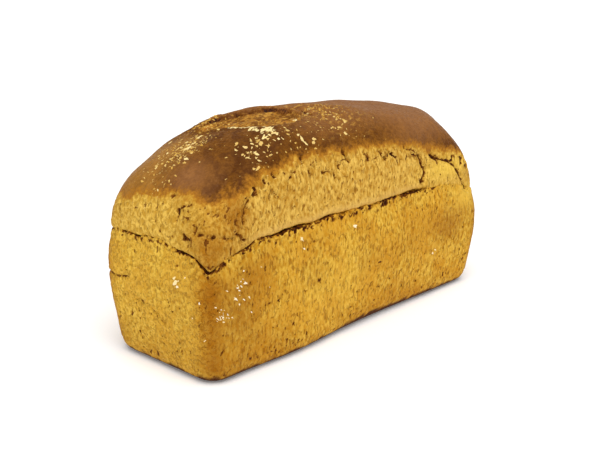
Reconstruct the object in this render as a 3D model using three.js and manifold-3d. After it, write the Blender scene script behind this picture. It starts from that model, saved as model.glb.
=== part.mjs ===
// Tin loaf of spelt bread: one solid, with the baked crack along its sides, the opened slash
// and wrinkles of its crown, and the bran flakes stuck to it. Millimetres, +Z up.
// The origin is the middle of the flat base, the length runs along X.
import * as THREE from 'three';
import { mergeVertices } from 'three/addons/utils/BufferGeometryUtils.js';
import Module from 'manifold-3d';

const wasm = await Module();
wasm.setup();

// the half that the tin shaped
const baseHalfLength = 121.5;
const baseHalfWidth = 42.4;
const wallDraft = 0.04; // lean of the walls, mm outward per mm of height
const cornerRadius = 13.6;
const baseEdgeRadius = 8.5;
const wallBulge = 2.5;
const wallShoulder = 0.7; // the walls roll in by this much under the crack
const shoulderFrom = 0.8; // share of the walls' height where that starts
const bulgePower = 1.4; // puts the bulge's fullest height above the middle
const footTop = 45; // height above which the foot's own shape has no effect
const footInside = { from: 0.5, to: 0.85 }; // shares of the half width where its bulges set in
const footArch = { x: 24, reach: 40, lift: 2.4, full: 5 }; // where the front's bottom edge curls up
const footBellies = [ // where the foot of the front and of the back bulges
  { facing: -1, x: -55, reach: 30, out: 2.4, full: 10 },
  { facing: 1, x: 38, reach: 45, out: 1.8, full: 10 },
];

// the crack where the crown pulled away from the walls
const crackHeight = 77;
const crackOverhang = 0.5; // the crown's lower lip starts this far inside the front and back walls
const endOverhang = 1.8; // and this far inside the right end
const endStart = 90; // x where the front and back walls start to turn into the right end
const endFull = 120;
const lipHeight = 3.5;
const shredHeight = 1.6;
const crackDepth = 2.6;
const crackWaver = { height: 0.7, x: 6.1, y: 5.3, skew: 17 }; // ripple of the crack's line
const crackCloses = { from: 50, to: 85, front: 0.85, back: 0.4 }; // shares closed, towards +X
const crackShallow = { from: -112, to: -120, front: -34, back: -10, share: 0.45 }; // on the left end

// the crown that rose above the tin
const crownTop = 133.8;
const crownPeak = -44; // x of the highest point
const crownSag = 7.1; // drop of the ridge line, in mm, at this distance from its peak
const sagDistance = 100;
const crownRoundness = 3; // power of the cross section's curve, 2 is an ellipse
const endRoundness = 1.7;
const leftEndSlope = 96; // length over which the crown rises from the left end
const rightEndSlope = 23;
const shoulderRadius = 31; // corner radius of the crown in plan
const topDome = 34; // how far its rounding reaches along X, near its top
const domeAngles = { from: 0.5, to: 1.5 }; // angles of the cross section between the two
const shoulderAngle = 0.8;

// mesh steps: columns along one long and one end side, then rows up the height
const lengthColumns = 62;
const widthColumns = 24;
const edgeTilts = [0, Math.PI / 4, Math.PI / 2];
const wallSteps = 5;
const shredSteps = [0.5, 0]; // rows just under the crack, in shred heights
const lipAngles = [0.015, 0.07]; // rows of the crown's lower lip
const crownSteps = 11;

// bran flakes, in mm and in shares of their length or width
const flakeCount = 88;
const flakeSeed = 7;
const randomRule = { factor: 1664525, add: 1013904223, range: 4294967296 };
const grainRadius = 0.5; // a flake is a grain one millimetre across before it is scaled
const flakeDrop = 2; // flakes fall onto the crown from this many times its height
const flakeLength = { first: 4.4, drop: 2.4, spread: 0.8 };
const flakeWidth = { least: 0.5, spread: 0.3 };
const flakeThickness = 0.55;
const flakeSink = 0.12; // share of its thickness that a flake's middle lies below the crust
const blisterWidth = 0.6;
const blisterTurn = 1.2;

// Each corner's dip of the crack: place in plan by sign, broad and sharp depth in mm
const crackDips = [
  { x: -1, y: -1, broad: 3.4, sharp: 10.5 },
  { x: 1, y: -1, broad: 11.5, sharp: 1 },
  { x: -1, y: 1, broad: 2.6, sharp: 1 },
  { x: 1, y: 1, broad: 9, sharp: 4 },
];
const broadDip = 28;
const sharpDip = 8;

// Creases and tears of the crust: a line of points, half width and depth in mm
const creases = [
  { name: 'tear in the front', at: [[59, -43, 94], [59, -43, 83]], wide: 3.2, deep: 1.8 },
  { name: 'arched split', at: [[70, -43, 97], [88, -43, 90], [100, -43, 80]], wide: 3.4, deep: 1.2 },
  { name: 'notch of the end wall', at: [[-126, 18, 50], [-126, 30, 49], [-122, 44, 48]], wide: 3, deep: 1.3 },
  { name: 'hooked split in the end', at: [[-117, -25, 99], [-121, -18, 93]], wide: 3.2, deep: 1.2 },
  { name: 'corner fold', at: [[-121, -31, 85], [-116, -40, 82], [-107, -44, 82]], wide: 3.4, deep: 1.3 },
  { name: 'holes under the crust', at: [[-13, -41, 109], [-20, -42, 104]], wide: 3.4, deep: 1.4 },
  { name: 'holes further along', at: [[20, -42, 104], [33, -43, 100]], wide: 3.4, deep: 1 },
];

// The slash across the crown: middle and direction in plan, half sizes, depth and raised lip;
// the floor, the lip's middle and its width are shares of the half width; the front half narrows
// towards the left end, between two places along the slash
const slash = {
  x: -51, y: -3, turn: -0.59, halfLength: 31, halfWidth: 15,
  depth: 2.6, lip: 1.3, floor: 0.7, lipAt: 1.15, lipWidth: 0.22,
  narrow: 0.55, narrowFrom: -0.6, narrowTo: 0.1,
};

// Slow lumps of the crust: two sets of crossed waves, lengths in mm over 2 pi
const lumpHeight = { wall: 0.45, crown: 0.8 };
const broadLumps = { size: 1, x: 15.3, bend: 1.7, bendY: 19.1, z: 13.7, y: 16.9 };
const fineLumps = { size: 0.6, x: 7.9, z: 9.7, start: 2, y: 8.3, skewX: 21 };
const crownBlend = { below: 15, above: 20 }; // mm around the crack where wall turns into crown

const weldDistance = 0.02;
const crustLook = { color: 0xc08a3a, roughness: 0.8, metalness: 0 };

// Where flakes lie on the crown, in plan: middle, spread and share of the count
const flakeFields = [
  { name: 'left slope', x: -97, y: 7, spreadX: 16, spreadY: 11, share: 0.3 },
  { name: 'front lip of the slash', x: -60, y: -29, spreadX: 18, spreadY: 7, share: 0.24 },
  { name: 'front slope', x: -77, y: -30, spreadX: 11, spreadY: 9, share: 0.16 },
  { name: 'front of the crown', x: -42, y: -36, spreadX: 11, spreadY: 4, share: 0.1 },
  { name: 'middle of the crown', x: -8, y: -26, spreadX: 22, spreadY: 9, share: 0.12 },
  { name: 'back slope', x: -50, y: 27, spreadX: 34, spreadY: 8, share: 0.08 },
];

// Flour blisters on the walls: place along the wall, height and length in mm
const blisters = [
  { wall: 'front', along: -11, height: 68, size: 5 },
  { wall: 'front', along: -55, height: 70, size: 3.8 },
  { wall: 'front', along: -100, height: 56, size: 3.4 },
  { wall: 'front', along: -107, height: 49, size: 3 },
  { wall: 'front', along: 71, height: 31, size: 2.8 },
  { wall: 'left', along: -21, height: 57, size: 5 },
];

// 0 at from, 1 at to, eased between them; from may be the larger of the two
function smooth(from, to, value) {
  const t = THREE.MathUtils.clamp((value - from) / (to - from), 0, 1);
  return t * t * (3 - 2 * t);
}

// A number between 0 and 1 from a running seed, always the same sequence
function seededRandom(seed) {
  let state = seed >>> 0;
  return () => {
    state = (Math.imul(state, randomRule.factor) + randomRule.add) >>> 0;
    return state / randomRule.range;
  };
}

// The four sides of the loop around the loaf: which way each runs and faces, and which of a
// ring's half sizes and corner radii lie before it, after it and outward of it
const sides = [
  { columns: lengthColumns, along: [1, 0], out: [0, -1], before: 'left', after: 'right', face: 'half' },
  { columns: widthColumns, along: [0, 1], out: [1, 0], before: 'half', after: 'half', face: 'right' },
  { columns: lengthColumns, along: [-1, 0], out: [0, 1], before: 'right', after: 'left', face: 'half' },
  { columns: widthColumns, along: [0, -1], out: [-1, 0], before: 'half', after: 'half', face: 'left' },
];

// Columns of that loop: evenly spaced along each side, from corner to corner
function loopColumns() {
  return sides.flatMap((side) =>
    Array.from({ length: side.columns }, (_, i) => ({ side, share: i / side.columns })));
}

// A point of a ring: a rectangle whose corners are quarter ellipses. ring.reach holds its half
// sizes to the left, to the right and across (half), ring.round the corners' radii that way
function ringPoint({ side, share }, { reach, round, z }) {
  const [before, after, face] = [reach[side.before], reach[side.after], reach[side.face]];
  const [softBefore, softAfter, soft] = [round[side.before], round[side.after], round[side.face]];
  const arcBefore = ((softBefore + soft) * Math.PI) / 8;
  const arcAfter = ((softAfter + soft) * Math.PI) / 8;
  const straight = before + after - softBefore - softAfter;
  const s = share * (arcBefore + straight + arcAfter);
  let turn = 0;
  if (s < arcBefore) turn = ((s / arcBefore - 1) * Math.PI) / 4;
  if (s > arcBefore + straight) turn = (((s - arcBefore - straight) / arcAfter) * Math.PI) / 4;
  const level = softBefore - before + THREE.MathUtils.clamp(s - arcBefore, 0, straight);
  const u = level + (turn < 0 ? softBefore : softAfter) * Math.sin(turn);
  const v = face - soft + soft * Math.cos(turn);
  return new THREE.Vector3(u * side.along[0] + v * side.out[0], u * side.along[1] + v * side.out[1], z);
}

// A ring of the walls: the base's outline moved outward, with round corners
function wallRing(out, z, radius = cornerRadius) {
  const length = baseHalfLength + out;
  return {
    reach: { left: length, right: length, half: baseHalfWidth + out },
    round: { left: radius, right: radius, half: radius },
    z,
  };
}

// The column's point on the rim, where the walls end
function rimPoint(column) {
  return ringPoint(column, wallRing(wallDraft * crackHeight, crackHeight));
}

// Height of the crack at a rim point: level, with a broad and a sharp dip at each corner
function crackLine(rim) {
  const waver = Math.sin(rim.x / crackWaver.x) * Math.sin(rim.y / crackWaver.y + rim.x / crackWaver.skew);
  let z = crackHeight + crackWaver.height * waver;
  for (const dip of crackDips) {
    const far = Math.hypot(rim.x - dip.x * baseHalfLength, rim.y - dip.y * baseHalfWidth);
    z -= dip.broad * Math.exp(-((far / broadDip) ** 1.5)) + dip.sharp * Math.exp(-far / sharpDip);
  }
  return z;
}

// Depth of the crack at a rim point: deep along the walls, nearly closed far right, shallow left
function crackDepthAt(rim) {
  const share = rim.y < 0 ? crackCloses.front : crackCloses.back;
  const closed = share * smooth(crackCloses.from, crackCloses.to, rim.x);
  const along = smooth(crackShallow.front, crackShallow.back, rim.y);
  const shallow = crackShallow.share * along * smooth(crackShallow.from, crackShallow.to, rim.x);
  return crackDepth * (1 - closed) * (1 - shallow);
}

// Inset of a lip rounded as a quarter ellipse: full at the crack, nothing at its height
function lipInset(depth, height, lip) {
  const rest = Math.max(0, 1 - height / lip);
  return depth * (1 - Math.sqrt(1 - rest * rest));
}

// Half size of the walls at a height: drafted, bulging, rolled in towards the crack
function wallPoint({ column, crack, depth }, z) {
  const rise = THREE.MathUtils.clamp(z / crack, 0, 1);
  const roll = wallShoulder * smooth(shoulderFrom, 1, rise) + lipInset(depth, crack - z, shredHeight);
  const out = wallDraft * z + wallBulge * Math.sin(Math.PI * rise ** bulgePower) - roll;
  return ringPoint(column, wallRing(out, z));
}

// Height of the crown's ridge line over x
function ridgeHeight(x) {
  return crownTop - crownSag * ((x - crownPeak) / sagDistance) ** 2;
}

// The crown: rings that shrink along a rounded curve, from the crack to the ridge line
function crownPoint({ column, crack, depth, overhang }, angle) {
  const power = crownRoundness;
  const size = (Math.cos(angle) ** power + Math.sin(angle) ** power) ** (-1 / power);
  const inward = Math.max(0, Math.cos(angle) * size);
  const upward = Math.min(1, Math.sin(angle) * size);
  const endInward = 1 - inward ** (power / endRoundness);
  const inset = lipInset(depth, upward * (crownTop - crack), lipHeight);
  const start = wallDraft * crackHeight - overhang;
  const length = baseHalfLength + start - inset;
  const half = Math.max(0, (baseHalfWidth + start) * inward - inset);
  const dome = smooth(domeAngles.from, domeAngles.to, angle);
  const corner = THREE.MathUtils.lerp(cornerRadius, shoulderRadius, smooth(0, shoulderAngle, angle));
  const roundEnd = THREE.MathUtils.lerp(corner, topDome, dome);
  const roundSide = Math.min(half, THREE.MathUtils.lerp(corner, half, dome));
  const point = ringPoint(column, {
    reach: { left: length - leftEndSlope * endInward, right: length - rightEndSlope * endInward, half },
    round: { left: roundEnd, right: roundEnd, half: roundSide },
    z: 0,
  });
  point.z = crack + (ridgeHeight(point.x) - crack) * upward;
  return point;
}

// Rows of points from the base's middle line, over the walls and the crack, to the ridge
function loafRows() {
  const posts = loopColumns().map((column) => {
    const rim = rimPoint(column);
    const overhang = THREE.MathUtils.lerp(crackOverhang, endOverhang, smooth(endStart, endFull, rim.x));
    return { column, overhang, crack: crackLine(rim), depth: crackDepthAt(rim) };
  });
  const rows = [];
  rows.push(posts.map(({ column }) => ringPoint(column, wallRing(-baseHalfWidth, 0, 0))));
  for (const tilt of edgeTilts) {
    const z = baseEdgeRadius * (1 - Math.cos(tilt));
    const out = baseEdgeRadius * (Math.sin(tilt) - 1) + wallDraft * z;
    const radius = cornerRadius - baseEdgeRadius * (1 - Math.sin(tilt));
    rows.push(posts.map(({ column }) => ringPoint(column, wallRing(out, z, radius))));
  }
  for (let step = 1; step <= wallSteps; step += 1) {
    const share = step / wallSteps;
    rows.push(posts.map((post) => {
      const top = post.crack - 2 * shredHeight;
      return wallPoint(post, THREE.MathUtils.lerp(baseEdgeRadius, top, share));
    }));
  }
  for (const below of shredSteps) {
    rows.push(posts.map((post) => wallPoint(post, post.crack - below * shredHeight)));
  }
  const lipTop = lipAngles.at(-1);
  const angles = Array.from({ length: crownSteps }, (_, i) =>
    THREE.MathUtils.lerp(lipTop, Math.PI / 2, (i + 1) / crownSteps));
  for (const angle of [...lipAngles, ...angles]) {
    rows.push(posts.map((post) => crownPoint(post, angle)));
  }
  return rows;
}

// A closed surface from rows of points; the first and the last row fold onto a line
function closedSurface(rows) {
  const count = rows[0].length;
  const positions = rows.flat().flatMap((p) => [p.x, p.y, p.z]);
  const index = [];
  for (let row = 0; row + 1 < rows.length; row += 1) {
    for (let i = 0; i < count; i += 1) {
      const next = (i + 1) % count;
      const [a, b] = [row * count + i, row * count + next];
      index.push(a, b, b + count, a, b + count, a + count);
    }
  }
  const geometry = new THREE.BufferGeometry();
  geometry.setAttribute('position', new THREE.Float32BufferAttribute(positions, 3));
  geometry.setIndex(index);
  return withoutSlivers(mergeVertices(geometry, weldDistance));
}

// The same surface without the triangles whose corners fell together
function withoutSlivers(geometry) {
  const old = geometry.getIndex().array;
  const kept = [];
  for (let i = 0; i < old.length; i += 3) {
    const [a, b, c] = old.slice(i, i + 3);
    if (a !== b && b !== c && c !== a) kept.push(a, b, c);
  }
  geometry.setIndex(kept);
  geometry.computeVertexNormals();
  return geometry;
}

// Distance from a point to a line of points
function distanceTo(line, point) {
  let near = Infinity;
  const closest = new THREE.Vector3();
  for (let i = 0; i + 1 < line.length; i += 1) {
    const stretch = new THREE.Line3(new THREE.Vector3(...line[i]), new THREE.Vector3(...line[i + 1]));
    stretch.closestPointToPoint(point, true, closest);
    near = Math.min(near, closest.distanceTo(point));
  }
  return near;
}

// Depth of the slash: a long oval sunk into the crown, its back edge raised as a lip
function slashRelief(p) {
  const dx = p.x - slash.x;
  const dy = p.y - slash.y;
  const along = (dx * Math.cos(slash.turn) + dy * Math.sin(slash.turn)) / slash.halfLength;
  const across = (dy * Math.cos(slash.turn) - dx * Math.sin(slash.turn)) / slash.halfWidth;
  const taper = Math.sqrt(Math.max(0, 1 - along * along));
  if (taper === 0 || p.z < crackHeight) return 0;
  const front = THREE.MathUtils.lerp(slash.narrow, 1, smooth(slash.narrowFrom, slash.narrowTo, along));
  const place = across / taper / (across < 0 ? front : 1);
  const hollow = smooth(1, slash.floor, Math.abs(place)) * taper;
  const lip = taper * Math.exp(-(((place - slash.lipAt) / slash.lipWidth) ** 2));
  return slash.lip * lip - slash.depth * hollow;
}

// Height of the slow lumps: broad waves that bend over the loaf, and finer ones across them
function lumps(p) {
  const [broad, fine] = [broadLumps, fineLumps];
  const bent = Math.sin(p.x / broad.x + broad.bend * Math.sin(p.y / broad.bendY));
  const crossed = Math.sin(p.x / fine.x + p.z / fine.z + fine.start);
  return (
    broad.size * bent * Math.cos(p.z / broad.z + p.y / broad.y) +
    fine.size * crossed * Math.cos(p.y / fine.y - p.x / fine.skewX)
  );
}

// Relief of the crust along its normal: lumps, slash and creases
function relief(p) {
  const lift = smooth(crackHeight - crownBlend.below, crackHeight + crownBlend.above, p.z);
  let out = THREE.MathUtils.lerp(lumpHeight.wall, lumpHeight.crown, lift) * lumps(p);
  out += slashRelief(p);
  for (const crease of creases) {
    out -= crease.deep * Math.exp(-((distanceTo(crease.at, p) / crease.wide) ** 2));
  }
  return out;
}

// How far the front's bottom edge curls up: most at its outer corner, nothing further in
function footLift(p) {
  const along = Math.exp(-(((p.x - footArch.x) / footArch.reach) ** 2));
  const edge = smooth(baseHalfWidth - baseEdgeRadius, baseHalfWidth, -p.y);
  return footArch.lift * along * edge * smooth(footTop, footArch.full, p.z);
}

// How far the foot of the front and of the back bulges, along Y
function footOut(p) {
  const inside = [footInside.from * baseHalfWidth, footInside.to * baseHalfWidth];
  let out = 0;
  for (const belly of footBellies) {
    const along = Math.exp(-(((p.x - belly.x) / belly.reach) ** 2));
    const edge = smooth(...inside, belly.facing * p.y);
    out += belly.facing * belly.out * along * edge * smooth(footTop, belly.full, p.z);
  }
  return out;
}

// Moves the surface by its relief, and leaves the flat base where it is
function bakeRelief(geometry) {
  const place = geometry.getAttribute('position');
  const normal = geometry.getAttribute('normal');
  const p = new THREE.Vector3();
  const n = new THREE.Vector3();
  for (let i = 0; i < place.count; i += 1) {
    p.fromBufferAttribute(place, i);
    n.fromBufferAttribute(normal, i);
    const free = smooth(0, 2 * baseEdgeRadius, p.z);
    if (free > 0) p.addScaledVector(n, free * relief(p));
    p.z += footLift(p);
    p.y += footOut(p);
    place.setXYZ(i, p.x, p.y, p.z);
  }
  geometry.deleteAttribute('normal');
  return geometry;
}

// A closed surface as a solid, and a solid as a surface
function toSolid(geometry) {
  const vertProperties = new Float32Array(geometry.getAttribute('position').array);
  const triVerts = new Uint32Array(geometry.getIndex().array);
  return new wasm.Manifold(new wasm.Mesh({ numProp: 3, vertProperties, triVerts }));
}

function toGeometry(solid) {
  const mesh = solid.getMesh();
  const geometry = new THREE.BufferGeometry();
  geometry.setAttribute('position', new THREE.BufferAttribute(mesh.vertProperties, 3));
  geometry.setIndex(outerShell(mesh.triVerts, mesh.vertProperties.length / 3));
  return geometry;
}

// The triangles of the largest connected surface: what flakes enclose between them is filled
function outerShell(triVerts, vertexCount) {
  const parent = Array.from({ length: vertexCount }, (_, i) => i);
  const rootOf = (vertex) => {
    let root = vertex;
    while (parent[root] !== root) root = parent[root];
    while (parent[vertex] !== root) [parent[vertex], vertex] = [root, parent[vertex]];
    return root;
  };
  for (let i = 0; i < triVerts.length; i += 3) {
    parent[rootOf(triVerts[i + 1])] = rootOf(triVerts[i]);
    parent[rootOf(triVerts[i + 2])] = rootOf(triVerts[i]);
  }
  const shells = new Map();
  for (let i = 0; i < triVerts.length; i += 3) {
    const root = rootOf(triVerts[i]);
    if (!shells.has(root)) shells.set(root, []);
    shells.get(root).push(triVerts[i], triVerts[i + 1], triVerts[i + 2]);
  }
  return [...shells.values()].reduce((best, shell) => (shell.length > best.length ? shell : best));
}

// One flake: a small flattened grain, half sunk, lying on the surface with a random turn
function flakeSolid(point, normal, length, width, turn) {
  const grain = new THREE.IcosahedronGeometry(grainRadius, 0);
  grain.deleteAttribute('normal');
  grain.deleteAttribute('uv');
  const shape = mergeVertices(grain);
  const upright = new THREE.Quaternion().setFromUnitVectors(new THREE.Vector3(0, 0, 1), normal);
  const spin = new THREE.Quaternion().setFromAxisAngle(normal, turn);
  const thickness = flakeThickness * width;
  const centre = point.clone().addScaledVector(normal, -flakeSink * thickness);
  const size = new THREE.Vector3(length, width, thickness);
  shape.applyMatrix4(new THREE.Matrix4().compose(centre, spin.multiply(upright), size));
  return toSolid(shape);
}

// Flakes over the crown's fields, largest first, and the blisters of the walls
function flakeSolids(surface) {
  const random = seededRandom(flakeSeed);
  const caster = new THREE.Raycaster();
  const solids = [];
  const scatter = () => random() + random() + random() - 1.5; // around 0, mostly near it
  const down = new THREE.Vector3(0, 0, -1);
  const lay = (from, towards, length, width, turn) => {
    caster.set(from, towards);
    const [hit] = caster.intersectObject(surface);
    if (hit) solids.push(flakeSolid(hit.point, hit.face.normal, length, width, turn));
  };
  for (const field of flakeFields) {
    const count = Math.round(flakeCount * field.share);
    for (let i = 0; i < count; i += 1) {
      const x = field.x + field.spreadX * scatter();
      const y = field.y + field.spreadY * scatter();
      const drop = flakeLength.drop * Math.sqrt(i / count);
      const length = flakeLength.first - drop + flakeLength.spread * random();
      const width = length * (flakeWidth.least + flakeWidth.spread * random());
      const from = new THREE.Vector3(x, y, flakeDrop * crownTop);
      lay(from, down, length, width, 2 * Math.PI * random());
    }
  }
  for (const spot of blisters) {
    const away = -2 * baseHalfLength;
    const [from, towards] = spot.wall === 'left'
      ? [[away, spot.along, spot.height], [1, 0, 0]]
      : [[spot.along, away, spot.height], [0, 1, 0]];
    const width = blisterWidth * spot.size;
    lay(new THREE.Vector3(...from), new THREE.Vector3(...towards), spot.size, width, blisterTurn);
  }
  return solids;
}

function makeLoaf() {
  const body = bakeRelief(closedSurface(loafRows()));
  const surface = new THREE.Mesh(body, new THREE.MeshStandardMaterial());
  let solid = toSolid(body);
  for (const flake of flakeSolids(surface)) {
    solid = solid.add(flake);
  }
  const loaf = new THREE.Mesh(toGeometry(solid), new THREE.MeshStandardMaterial(crustLook));
  loaf.name = 'loaf';
  return loaf;
}

const spelt = new THREE.Group();
spelt.add(makeLoaf());

export default spelt;
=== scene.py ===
import math
import bmesh
import bpy
import numpy as np
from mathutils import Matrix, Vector
from mathutils.bvhtree import BVHTree


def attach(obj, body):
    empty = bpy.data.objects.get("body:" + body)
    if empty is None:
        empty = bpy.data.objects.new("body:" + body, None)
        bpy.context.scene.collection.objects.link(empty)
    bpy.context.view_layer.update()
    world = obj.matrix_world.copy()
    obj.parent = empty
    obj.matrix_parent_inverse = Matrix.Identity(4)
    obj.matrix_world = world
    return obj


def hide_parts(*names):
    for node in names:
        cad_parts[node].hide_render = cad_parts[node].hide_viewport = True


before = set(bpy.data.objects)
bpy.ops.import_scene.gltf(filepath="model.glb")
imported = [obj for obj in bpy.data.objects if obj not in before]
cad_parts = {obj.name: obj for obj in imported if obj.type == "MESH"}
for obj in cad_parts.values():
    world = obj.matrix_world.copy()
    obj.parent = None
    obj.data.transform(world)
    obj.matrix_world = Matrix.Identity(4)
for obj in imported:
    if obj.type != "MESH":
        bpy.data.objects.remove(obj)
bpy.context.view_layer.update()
print("frame loaded")

mm = 0.001  # the loaf's sizes below are in millimetres, its meshes in metres

# The sizes of the solid loaf, which the fine crust follows
loafForm = {
    "halfLength": 121.5, "halfWidth": 42.4, "draft": 0.04, "cornerRadius": 13.6,
    "edgeRadius": 8.5, "wallBulge": 2.5, "bulgePower": 1.4, "wallShoulder": 0.7,
    "crackHeight": 77, "crackOverhang": 0.5, "endOverhang": 1.8, "endStart": 90, "endFull": 120,
    "lipHeight": 3.5, "shredHeight": 1.6, "crackDepth": 2.6, "broadDip": 28, "sharpDip": 8,
    "crownTop": 133.8, "crownPeak": -44, "crownSag": 7.1, "crownRoundness": 3, "endRoundness": 1.7,
    "leftSlope": 96, "rightSlope": 23, "shoulderRadius": 31, "topDome": 34,
    "footTop": 45, "archX": 24, "archReach": 40, "archLift": 2.4,
}
# Each corner's dip of the crack: sign in x and y, broad depth, sharp depth
crackDips = [(-1, -1, 3.4, 10.5), (1, -1, 11.5, 1), (-1, 1, 2.6, 1), (1, 1, 9, 4)]
# Where the foot of the front and of the back bulges: facing in y, x, reach, depth
footBellies = [(-1, -55, 30, 2.4), (1, 38, 45, 1.8)]
# The slash across the crown: middle and turn in plan, half sizes, depth, height of its back lip,
# and the share to which its front half narrows on the left, from and to which place along it.
# The places and widths of its lips, groove and flour are across it, in half widths
slash = {
    "x": -51, "y": -3, "turn": -0.59, "halfLength": 31, "halfWidth": 15, "depth": 2.6, "lip": 1.3,
    "narrow": 0.55, "narrowFrom": -0.6, "narrowTo": 0.1, "lipAt": 1.16, "lipWidth": 0.2, "floor": 0.35,
    "grooveDepth": 1.5, "grooveAt": 0.94, "grooveWidth": 0.07, "strandHeight": 1.1,
    "frontLip": 0.6, "frontLipAt": -1.05, "frontLipWidth": 0.14, "flourAt": -1.13, "flourWidth": 0.28,
}
# The brown crown's lower edge along the front: place and height
crownEdge = [
    (-124, 99), (-105, 101), (-94, 105), (-80, 111), (-65, 114.5), (-46, 115.5), (-20, 113.5), (18, 111.5),
    (57, 103.5), (90, 96.5), (124, 86),
]
# Grids of the fine crust: columns along a long and an end side, rows of each zone
crustGrid = {"long": 284, "end": 108, "base": 5, "edge": 9, "wall": 90, "shred": 12, "lip": 16, "crown": 98}

# Tears, splits and holes of the crust: points, half width and depth
tears = [
    {"at": [(-15, -40, 112), (-13, -41, 108), (-12, -42, 105)], "wide": 1.0, "deep": 3.0},
    {"at": [(-20, -42, 105), (-20, -42, 103)], "wide": 1.3, "deep": 2.8},
    {"at": [(-26, -42, 102), (-26, -42, 101), (-25, -42, 98)], "wide": 0.7, "deep": 1.8},
    {"at": [(-29, -42, 103), (-35, -42, 104)], "wide": 0.8, "deep": 1.4},
    {"at": [(-46, -42, 107), (-45, -42, 105)], "wide": 0.8, "deep": 1.4},
    {"at": [(17, -42, 107), (20, -42, 103), (22, -42, 101)], "wide": 1.0, "deep": 1.8},
    {"at": [(27, -42, 105), (33, -42, 101), (34, -43, 97)], "wide": 0.7, "deep": 1.8},
    {"at": [(54, -43, 99), (58, -43, 94), (61, -43, 89)], "wide": 1.2, "deep": 3.4},
    {"at": [(61, -43, 89), (60, -43, 85), (58, -43, 82)], "wide": 1.7, "deep": 3.4},
    {"at": [(-24, -6, 133), (-20, -12, 133), (-21, -21, 132)], "wide": 1.1, "deep": 2.2},
    {"at": [(-51, -41, 114), (-50, -41, 112)], "wide": 0.9, "deep": 1.8},
    {"at": [(-73, -42, 110), (-72, -42, 108)], "wide": 0.8, "deep": 1.8},
    {"at": [(-80, -42, 108), (-79, -42, 106)], "wide": 0.9, "deep": 1.8},
    {"at": [(-89, -43, 105), (-88, -43, 103)], "wide": 0.8, "deep": 1.8},
    {"at": [(40, -41, 107), (46, -41, 104), (52, -42, 101)], "wide": 0.7, "deep": 1.2},
    {"at": [(67, -43, 97), (76, -43, 93), (84, -44, 90)], "wide": 1.0, "deep": 2.0},
    {"at": [(84, -44, 90), (92, -44, 85), (98, -44, 79), (106, -44, 68)], "wide": 0.8, "deep": 1.9},
    {
        "at": [(-117, -25, 99), (-118, -22, 97), (-120, -18, 95), (-121, -19, 92), (-122, -18, 89)],
        "wide": 0.7, "deep": 2.0,
    },
    {"at": [(-121, -2, 92), (-122, -3, 84), (-123, -7, 81)], "wide": 0.6, "deep": 1.0},
    {"at": [(-117, -11, 101), (-117, -10, 99)], "wide": 1.3, "deep": 1.8},
    {"at": [(-121, -32, 87), (-122, -31, 85)], "wide": 1.4, "deep": 2.6},
    {"at": [(-122, -25, 82), (-123, -28, 80)], "wide": 1.4, "deep": 2.4},
    {"at": [(-119, -33, 84), (-115, -40, 82), (-107, -43, 82)], "wide": 0.8, "deep": 1.8},
    {"at": [(-104, -44, 84), (-101, -44, 81), (-99, -44, 79)], "wide": 1.0, "deep": 1.8},
    {"at": [(-93, -43, 100), (-96, -43, 95), (-98, -44, 90), (-99, -44, 88)], "wide": 0.8, "deep": 1.6},
    {"at": [(-126, 20, 50), (-126, 30, 49), (-122, 44, 48)], "wide": 0.8, "deep": 1.3},
    {"at": [(-126, 14, 39), (-126, 6, 38), (-126, -3, 35), (-125, -9, 30)], "wide": 0.5, "deep": 1.0},
]


def smooth(low, high, value):
    # 0 at low, 1 at high, 3t^2 - 2t^3 between
    t = np.clip((value - low) / (high - low), 0, 1)
    return t * t * (3 - 2 * t)


def hump(value, middle, width):
    # exp(-((value - middle) / width)^2)
    return np.exp(-(((value - middle) / width) ** 2))


def blendTo(a, b, share):
    # a + (b - a) * share
    return a + (b - a) * share


def latticeValue(cell, seed):
    # a whole-number hash of each lattice cell, as a value from -1 to 1
    x, y, z = (cell[..., i].astype(np.int64).astype(np.uint32) for i in range(3))
    h = x * np.uint32(73856093) ^ y * np.uint32(19349663) ^ z * np.uint32(83492791)
    h = h + np.uint32(seed * 7919)
    h = (h ^ (h >> np.uint32(15))) * np.uint32(2246822519)
    h = (h ^ (h >> np.uint32(13))) * np.uint32(3266489917)
    return ((h ^ (h >> np.uint32(16))) & np.uint32(0xFFFF)).astype(float) / 32767.5 - 1


def valueNoise(p, size, seed):
    # lattice values at the eight corners of each cell, blended by 3t^2 - 2t^3 along each axis
    q = p / np.asarray(size, float)
    cell = np.floor(q)
    t = q - cell
    t = t * t * (3 - 2 * t)
    total = 0
    for corner in np.ndindex(2, 2, 2):
        near = np.array(corner)
        total = total + np.prod(np.where(near == 1, t, 1 - t), axis=-1) * latticeValue(cell + near, seed)
    return total


def layeredNoise(p, size, seed, layers=3):
    # noise plus the same at half the size and half the strength, and so on, over their sum
    size = np.asarray(size, float)
    parts = [valueNoise(p, size / 2 ** k, seed + k) / 2 ** k for k in range(layers)]
    return sum(parts) / (2 - 0.5 ** (layers - 1))


def warped(p, size, reach, seed):
    # each point moved by up to reach along each axis, by three noises
    return p + reach * np.stack([valueNoise(p, size, seed + k) for k in range(3)], axis=-1)


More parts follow.
